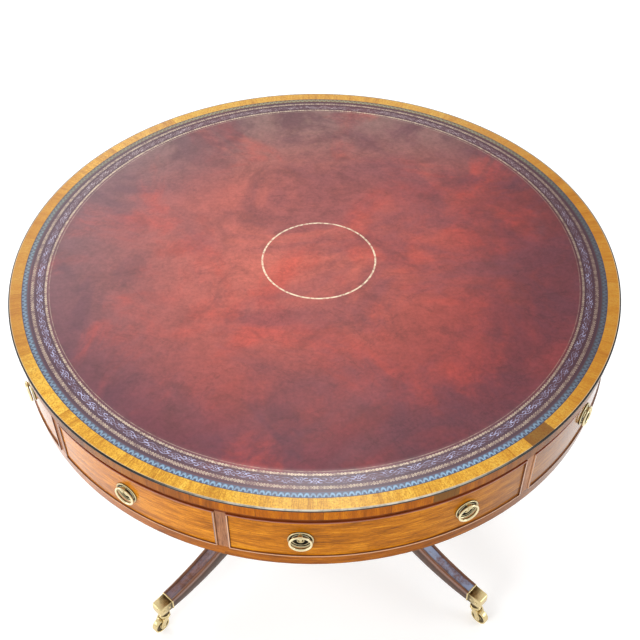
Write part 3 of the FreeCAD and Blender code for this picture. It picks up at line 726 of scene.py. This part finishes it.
# The upper board under the top's overhang gets a darker copy of the rail veneer: painted shadow
shaded_veneer = ring_veneer("shaded_veneer", SHADE_TONES, inside=True, **POLISH)
edge_banding = banding("edge_banding", True, EDGE_TONES, blocks=34, gap=0.012, patches=0.5, streaks=0.5,
                       repair=EDGE_REPAIR, repair_tone=(98, 72, 30), **DULL)
face_banding = banding("face_banding", False, BAND_TONES, blocks=22, gap=0.006, patches=0.4, streaks=0.8,
                       repair=FACE_REPAIR, repair_tone=(96, 54, 34), **DULL)
stile_veneer = upright_wood("stile_veneer", STILE_TONES, FRIEZE_RADIUS, **DULL)
bead_wood = beading("bead_wood", BEAD_TONES, Roughness=0.3, Coat_Weight=0.6, Coat_Roughness=0.1)
dark_wood = upright_wood("dark_wood", DARK_TONES, BLOCK_RADIUS,
                         Roughness=0.3, Coat_Weight=0.4, Coat_Roughness=0.1)
leg_paint = leg_wood()
oak = upright_wood("oak", OAK_TONES, FRIEZE_RADIUS, radial=True, Roughness=0.6)
bead_black = black_bead_with_highlight()
leather = tooled_leather()
cast_brass = brass("cast_brass", (218, 198, 148), (84, 70, 40), 0.26)
rose_brass = brass("rose_brass", (212, 196, 152), (26, 22, 14), 0.3,
                   (FRIEZE_RADIUS + 0.9, FRIEZE_RADIUS + 1.8))
# Painted shade on the back of each ring, its half towards the frieze
ring_brass = brass("ring_brass", (228, 214, 172), (104, 90, 56), 0.24,
                   (FRIEZE_RADIUS + RING_PLANE - 1.4, FRIEZE_RADIUS + RING_PLANE + 0.8))
iron = brass("iron", (96, 92, 88), (58, 52, 48), 0.5)


# Dressing the CAD nodes

def dress(node, paint, round_mm=0.0):
    """Gives a CAD node its material and, where asked, rounded arrises."""
    piece = frame["nodes"][node]
    piece.data.materials.clear()
    piece.data.materials.append(paint.material)
    if round_mm:
        weld = piece.modifiers.new("weld", "WELD")
        weld.merge_threshold = 0.01 * MM
        bevel = piece.modifiers.new("round", "BEVEL")
        bevel.width = round_mm * MM
        bevel.segments = 3
        bevel.limit_method = "ANGLE"
        bevel.angle_limit = math.radians(40)
        piece.modifiers.new("normals", "WEIGHTED_NORMAL")


dress("top_board", edge_banding, 1.0)
dress("writing_leather", leather)
dress("top_crossbanding", face_banding)
dress("upper_board", shaded_veneer)
dress("drum_floor", rail_veneer)
dress("stiles", stile_veneer)
for node in ("partitions", "drawer_stops", "pivot_hub"):
    dress(node, oak)
dress("dummy_fronts", front_veneer)
dress("dummy_cock_beads", bead_wood, 1.2)
for number in range(1, 5):
    dress(f"drawer_{number}_front", front_veneer)
    dress(f"drawer_{number}_cock_beads", bead_wood, 1.2)
    dress(f"drawer_{number}_carcase", oak)
dress("bearer_board", dark_wood, 1.5)
dress("pivot_pin", iron)


# The bead on the edge of the top

def edge_bead():
    """The blackened bead, with its round nose."""
    low, nose = TOP - 4.8, TOP_RADIUS + 1.0
    line = [(TOP_RADIUS - 0.5, low, 0), (nose, low, 0), (nose, TOP, 0.53), (TOP_RADIUS - 0.5, TOP, 0)]
    bead = Shape().turning(bowed_line(line), 256, closed=True)
    bead.piece("edge_bead_round", "drum", bead_black, "ebonised", "edge_bead")


# Ring pulls

ROSE_LINE = bowed_line([
    (ROSE_RADIUS, 0.05, 0), (ROSE_RADIUS, 1.2, 0), (18.6, 1.6, 0.85), (18.0, 0.9, 0), (15.4, 0.7, 0),
    (13.6, 0.9, 0.9), (13.0, 0.6, 0), (7.0, 0.5, 0), (6.6, 0.7, 0), (6.2, 2.4, 0), (4.6, 2.6, 0.8),
    (4.4, 0.9, 0), (3.0, 0.9, 0), (2.7, 2.8, 0), (0, 4.0, 0.3),
], 5)
NECK_LINE = bowed_line([(4.2, 0.8, 0), (2.9, 2.2, -0.3), (2.9, 7.0, 0)], 4)
BARREL_LINE = bowed_line([
    (0, -4.0, 0), (2.6, -4.0, 0), (4.0, -2.9, 0.4), (4.0, 2.9, 0), (2.6, 4.0, 0.4), (0, 4.0, 0),
], 5)


def rose(shape, joint):
    """A rose with its knuckle, under the joint that its ring swings on."""
    azimuth = azimuth_of(joint)
    axis_up = height_of(joint)
    ring_up = axis_up - RING_RADIUS
    shape.turning(ROSE_LINE, 64, standing_out(azimuth, FRIEZE_RADIUS, ring_up + RING_DROP))
    shape.turning(NECK_LINE, 24, standing_out(azimuth, FRIEZE_RADIUS, axis_up))
    shape.turning(BARREL_LINE, 24, across(azimuth, FRIEZE_RADIUS + RING_PLANE, axis_up))
    return shape


def hanging_ring(joint, node):
    """A cast ring, a little heavier at the bottom, on the body that is named like its node."""
    place = standing_out(azimuth_of(joint), FRIEZE_RADIUS + RING_PLANE, height_of(joint) - RING_RADIUS)
    rows = []
    for i in range(RING_STEPS):
        a = math.tau * i / RING_STEPS
        wire = RING_WIRE * (1.0 - 0.12 * math.sin(a))
        row = []
        for j in range(WIRE_STEPS):
            b = math.tau * j / WIRE_STEPS
            out = RING_RADIUS + wire * math.cos(b)
            row.append((out * math.cos(a), out * math.sin(a), wire * math.sin(b)))
        rows.append(row)
    Shape().rows(rows, place, closed=True).piece(node + "_cast", node, ring_brass, "brass", node)


def pulls():
    """A rose and a ring for each ring joint. The roses of the dummy fronts are one piece."""
    fixed = Shape()
    for name in joints:
        if not name.endswith("_ring_swing"):
            continue
        node = name.removesuffix("_swing")
        hanging_ring(name, node)
        if node.startswith("dummy"):
            rose(fixed, name)
        else:
            drawer = node.removesuffix("_ring")
            rose(Shape(), name).piece(drawer + "_rose", drawer, rose_brass, "brass", drawer + "_ring_plate")
    fixed.piece("dummy_roses", "drum", rose_brass, "brass", "dummy_ring_plates")


# The pedestal

def column():
    """The turned column, from the pendant under its leg block to the bearer board."""
    foot = COLUMN_FOOT - 26.0
    line = bowed_line([
        (0, foot, 0), (19, foot, 0), (25, foot + 5, 0.41), (44, foot + 17, -0.3), (46, foot + 17, 0),
        (46, foot + 19, 0), (47, COLUMN_FOOT, 0.7), (BLOCK_RADIUS - 1.5, COLUMN_FOOT, 0),
        (BLOCK_RADIUS, COLUMN_FOOT + 1.5, 0.41), (BLOCK_RADIUS, BLOCK_TOP - 5, 0), (53, BLOCK_TOP, 0.41),
        (50, BLOCK_TOP, 0), (50, BLOCK_TOP + 2, 0), (41, 338, -0.3), (41, 341, 0), (43, 341, 0), (43, 345, 0),
        (43, 367, 0.6), (43, 369, 0), (39, 372, 0),
    ])
    line += smooth_line([
        (39, 372), (44.8, 402), (45.4, 425), (42, 452), (36, 482), (30.2, 506), (27.5, 519),
    ], 6)
    line += bowed_line([
        (30, 521, 0), (30, 523.5, 0), (30, 534.5, 1.0), (30, 537, 0), (28.5, 539, 0), (39, 561, -0.3),
        (39, 564, 0), (42, 564, 0), (54.5, COLUMN_TOP, -0.2), (0, COLUMN_TOP, 0),
    ])
    Shape().turning(line, 96).piece("column_turned", "pedestal", dark_wood, "dark_mahogany", "column")


def leg_section(width, depth):
    """(across, down) points of half a leg's section, from the middle of its top to that underneath."""
    half = width / 2
    bead = 0.2 * width
    line = [(0, 2.4), (half - bead - 1.2, 2.0), (half - bead - 0.6, 3.0)]
    line += [(half - bead / 2 - bead / 2 * math.cos(a), 1.9 - 1.9 * math.sin(a))
             for a in (math.pi * i / 8 for i in range(9))]
    line += [(half - 0.4, 3.0), (half, 4.4), (half, depth - 3.0), (half - 0.8, depth - 0.8)]
    return line + [(half - 3.0, depth), (0, depth + 0.6)]


def leg(name):
    """A sabre leg with a channel between two beads on its top."""
    azimuth = azimuth_of("castor_swivel_" + name)
    span = LEG_REACH - HIP_RADIUS
    end = LEG_REACH - CAP_LENGTH + 1.0
    rise = HIP_TOP - TOE_TOP
    line = smooth_line([(LEG_REACH - out * span, TOE_TOP + up * rise) for out, up in LEG_LINE], 8)
    (r0, z0), (r1, z1) = next(pair for pair in zip(line, line[1:]) if pair[1][0] < end)
    line = [(end, z0 + (z1 - z0) * (r0 - end) / (r0 - r1))] + [point for point in line if point[0] < end]
    rows = []
    for i, (r, z) in enumerate(line):
        before, after = line[max(i - 1, 0)], line[min(i + 1, len(line) - 1)]
        slope = math.atan2(after[1] - before[1], before[0] - after[0])
        share = min(max((LEG_REACH - r) / (LEG_REACH - BLOCK_RADIUS), 0), 1)
        width = TOE_WIDTH + (HIP_WIDTH - TOE_WIDTH) * share
        half = leg_section(width, TOE_DEPTH + (HIP_DEPTH - TOE_DEPTH) * share)
        outline = half + [(-across_, down) for across_, down in reversed(half[1:-1])]
        rows.append([(a, -(r - d * math.sin(slope)), z - d * math.cos(slope)) for a, d in outline])
    shape = Shape().rows(rows, facing(azimuth), caps=True)
    shape.piece("leg_" + name + "_reeded", "pedestal", leg_paint, "dark_mahogany", "leg_" + name, sharp=50)


def rounded_box(half_width, low, high, corner):
    """(across, up) points round an upright box section with rounded corners."""
    points = []
    for x, z, start in ((1, 1, 0), (-1, 1, 90), (-1, -1, 180), (1, -1, 270)):
        middle_z = high - corner if z > 0 else low + corner
        for i in range(CORNER_STEPS + 1):
            a = math.radians(start + 90 * i / CORNER_STEPS)
            points.append((x * (half_width - corner) + corner * math.cos(a), middle_z + corner * math.sin(a)))
    return points


# The rows of a toe cap, as (along, growth all round, corner radius)
CAP_ROWS = [(0, 0.0, 2.0), (0, 1.0, 3.0), (0.6, 1.5, 3.4), (2.4, 1.5, 3.4), (3.0, 1.0, 3.0), (3.4, 0.0, 2.0),
            (CAP_LENGTH - 5.0, -0.6, 2.6), (CAP_LENGTH - 2.2, -1.6, 4.0), (CAP_LENGTH - 0.6, -3.4, 5.5),
            (CAP_LENGTH, -6.0, 5.5)]
SOCKET_LINE = bowed_line([
    (3.0, SOCKET_LOW, 0), (10.6, SOCKET_LOW, 0), (10.6, SOCKET_LOW + 3.4, 0.9), (9.4, SOCKET_LOW + 4.4, 0),
    (9.4, CAP_LOW - 4.0, 0), (11.0, CAP_LOW - 3.4, 0), (11.0, CAP_LOW + 1, 0.5),
], 5)
SCREW_LINE = bowed_line([(0, 0.9, 0), (2.4, 0.55, -0.1), (2.9, 0, -0.3)], 4)


def toe_caps():
    """Cast caps with a lip against the leg, a domed toe, a collar for the castor and screws in the sides."""
    shape = Shape()
    for name in LEGS:
        azimuth = azimuth_of("castor_swivel_" + name)
        start = LEG_REACH - CAP_LENGTH
        rows = []
        for along, grow, corner in CAP_ROWS:
            outline = rounded_box(TOE_WIDTH / 2 + grow, CAP_LOW - grow, TOE_TOP + grow, corner)
            rows.append([(x, -(start + along), z) for x, z in outline])
        shape.rows(rows, facing(azimuth), caps=True)
        shape.turning(SOCKET_LINE, 40, facing(azimuth, STEM_X))
        for side in (-1, 1):
            for along in (11.0, 25.0):
                place = facing(azimuth, start + along, (CAP_LOW + TOE_TOP) / 2)
                place = place @ Matrix.Translation((side * (TOE_WIDTH / 2 - 0.2), 0, 0))
                place = place @ Matrix.Rotation(math.radians(90 * side), 4, "Y")
                shape.turning(SCREW_LINE, 16, place)
    shape.piece("toe_caps_cast", "pedestal", cast_brass, "brass", "toe_caps", sharp=40)


# Castors

CROWN_LINE = bowed_line([
    (0, CROWN_LOW - 1.0, 0), (11.0, CROWN_LOW - 1.0, 0), (12.4, CROWN_LOW + 1.0, 0.4),
    (10.0, CROWN_HIGH - 0.6, 0.35), (6.5, CROWN_HIGH - 0.1, 0), (6.5, CROWN_HIGH, 0), (3.5, CROWN_HIGH, 0),
    (3.5, CROWN_HIGH + 6, 0), (0, CROWN_HIGH + 6, 0),
], 5)
TREAD_RADIUS = WHEEL_RADIUS - 0.2
WHEEL_LINE = bowed_line([
    (3.0, -6.6, 0), (6.0, -6.6, 0), (6.8, -5.6, 0.3), (7.4, -4.6, 0), (14.0, -4.6, 0), (15.0, -5.6, 0),
    (15.4, -6.4, 0.3), (16.6, -WHEEL_HALF, 0.3), (TREAD_RADIUS, -4.6, 0.41), (TREAD_RADIUS, 4.6, 0.04),
    (16.6, WHEEL_HALF, 0.41), (15.4, 6.4, 0.3), (15.0, 5.6, 0.3), (14.0, 4.6, 0), (7.4, 4.6, 0),
    (6.8, 5.6, 0), (6.0, 6.6, 0.3), (3.0, 6.6, 0),
], 4)
PIN_LINE = bowed_line([
    (0, -HORN_OUTER - 1.3, 0), (3.2, -HORN_OUTER, 0.4), (2.4, -HORN_OUTER, 0), (2.4, HORN_OUTER, 0),
    (3.2, HORN_OUTER, 0), (0, HORN_OUTER + 1.3, 0.4),
], 5)
# The rows of a horn, as (across, how far its outline draws in)
HORN_ROWS = [(HORN_INNER, 0.0), (HORN_OUTER - 0.7, 0.0), (HORN_OUTER, 0.42)]


def horn_outline():
    """(out, up) points round one horn of a fork, from its root on the crown to its round eye."""
    eye = 6.4
    front, back, high = STEM_X + 9.5, STEM_X - 8.5, CROWN_HIGH - 2.0
    points = bowed_line([
        (AXLE_X + eye, WHEEL_RADIUS, 0), (front, CROWN_LOW, 0.12), (front, high, 0), (back, high, 0),
        (back, CROWN_LOW, 0), (AXLE_X - eye, WHEEL_RADIUS, -0.15), (AXLE_X + eye, WHEEL_RADIUS, 1.0),
    ], 8)
    return points[:-1]


def castor(name):
    """A fork with its crown, two horns and axle pin, and the wheel between the horns."""
    azimuth = azimuth_of("castor_swivel_" + name)
    fork = Shape().turning(CROWN_LINE, 40, facing(azimuth, STEM_X))
    for side in (-1, 1):
        rows = [[(side * x, -(out - math.copysign(inset, out - AXLE_X)), up) for out, up in horn_outline()]
                for x, inset in HORN_ROWS]
        fork.rows(rows, facing(azimuth), caps=True)
    fork.turning(PIN_LINE, 24, across(azimuth, AXLE_X, WHEEL_RADIUS))
    fork.piece(f"castor_{name}_fork", f"castor_{name}", cast_brass, "brass", f"castor_fork_{name}", sharp=40)
    wheel = Shape().turning(WHEEL_LINE, 64, across(azimuth, AXLE_X, WHEEL_RADIUS), closed=True)
    wheel.piece(f"castor_{name}_wheel", f"wheel_{name}", cast_brass, "brass", f"castor_wheel_{name}",
                sharp=40)


edge_bead()
pulls()
column()
for name in LEGS:
    leg(name)
    castor(name)
toe_caps()


# Floor, light and camera

FLOOR_GLOW = 0.35
WORLD_LIGHT = 0.55
SENSOR_WIDTH = 36.0
PHOTO_WIDTH, FOCAL_PIXELS = 640, 1032.2


def stage_floor():
    """A pale round floor, nearly white to the rays that see it, which keeps the table's shadow."""
    bpy.ops.mesh.primitive_circle_add(vertices=96, radius=6.0, fill_type="NGON")
    floor = bpy.context.object
    floor.name = "floor"
    paint = Paint("floor_paint", Base_Color=(0.8, 0.8, 0.8, 1.0), Roughness=0.9, Specular_IOR_Level=0.0)
    rays = paint.node("LightPath").node.outputs
    seen = paint.math("MAXIMUM", rays["Is Camera Ray"], rays["Is Glossy Ray"])
    seen = paint.math("MAXIMUM", seen, rays["Is Transmission Ray"])
    paint.set(Emission_Color=(1.0, 1.0, 1.0, 1.0), Emission_Strength=paint.times(seen, FLOOR_GLOW))
    floor.data.materials.append(paint.material)


def stage_world():
    """A white background for the rays that see it, and a dimmer even light for the rest."""
    world = bpy.data.worlds.new("studio")
    bpy.context.scene.world = world
    world.use_nodes = True
    tree = world.node_tree
    background = tree.nodes["Background"]
    background.inputs["Color"].default_value = (1.0, 1.0, 1.0, 1.0)
    path = tree.nodes.new("ShaderNodeLightPath")
    seen = None
    for name in ("Is Camera Ray", "Is Glossy Ray", "Is Transmission Ray"):
        node = tree.nodes.new("ShaderNodeMath")
        node.operation = "MAXIMUM"
        tree.links.new(path.outputs[name], node.inputs[0])
        if seen:
            tree.links.new(seen, node.inputs[1])
        seen = node.outputs[0]
    level = tree.nodes.new("ShaderNodeMapRange")
    tree.links.new(seen, level.inputs["Value"])
    level.inputs["To Min"].default_value = WORLD_LIGHT
    level.inputs["To Max"].default_value = 1.0
    tree.links.new(level.outputs[0], background.inputs["Strength"])


def lamp(name, place, aim, size, watts, colour=(1.0, 1.0, 1.0)):
    """A round soft lamp, turned towards its aim."""
    data = bpy.data.lights.new(name, "AREA")
    data.shape = "DISK"
    data.size = size
    data.energy = watts
    data.color = colour
    piece = bpy.data.objects.new(name, data)
    bpy.context.scene.collection.objects.link(piece)
    piece.location = place
    piece.rotation_euler = (Vector(aim) - Vector(place)).to_track_quat("-Z", "Y").to_euler()
    return piece


def photo_camera():
    """The camera fitted to the round top and the legs in the photograph."""
    data = bpy.data.cameras.new("camera")
    data.sensor_width = SENSOR_WIDTH
    data.lens = SENSOR_WIDTH * FOCAL_PIXELS / PHOTO_WIDTH
    data.clip_end = 50.0
    camera = bpy.data.objects.new("camera", data)
    bpy.context.scene.collection.objects.link(camera)
    turn = Matrix.Rotation(math.radians(-1.0), 4, "Z")
    place = turn @ Matrix.Translation((0.0, -1.4758, 2.0755))
    look = (Matrix.Rotation(math.radians(-0.38), 4, "Z") @ Matrix.Rotation(math.radians(44.93), 4, "X")
            @ Matrix.Rotation(math.radians(-0.25), 4, "Z"))
    camera.matrix_world = place @ look
    bpy.context.scene.camera = camera


stage_floor()
stage_world()
# The key lights without a reflection of its own, which would hide the leather from behind
lamp("key", (-2.2, -2.9, 2.0), (0.0, 0.0, 0.6), 1.8, 54).visible_glossy = False
lamp("left", (-3.0, -0.4, 1.3), (0.0, 0.0, 0.5), 1.6, 16)
lamp("window", (2.9, -0.8, 1.7), (0.25, -0.25, 0.2), 1.5, 18, (0.8, 0.9, 1.0))
lamp("back", (-1.4, 2.2, 2.1), (0.0, 0.0, 0.7), 1.8, 32)
lamp("spark", (0.06, 1.5, 3.6), (0.0, -0.4, 0.7), 0.6, 16)
photo_camera()

bpy.context.scene.view_settings.view_transform = "Standard"
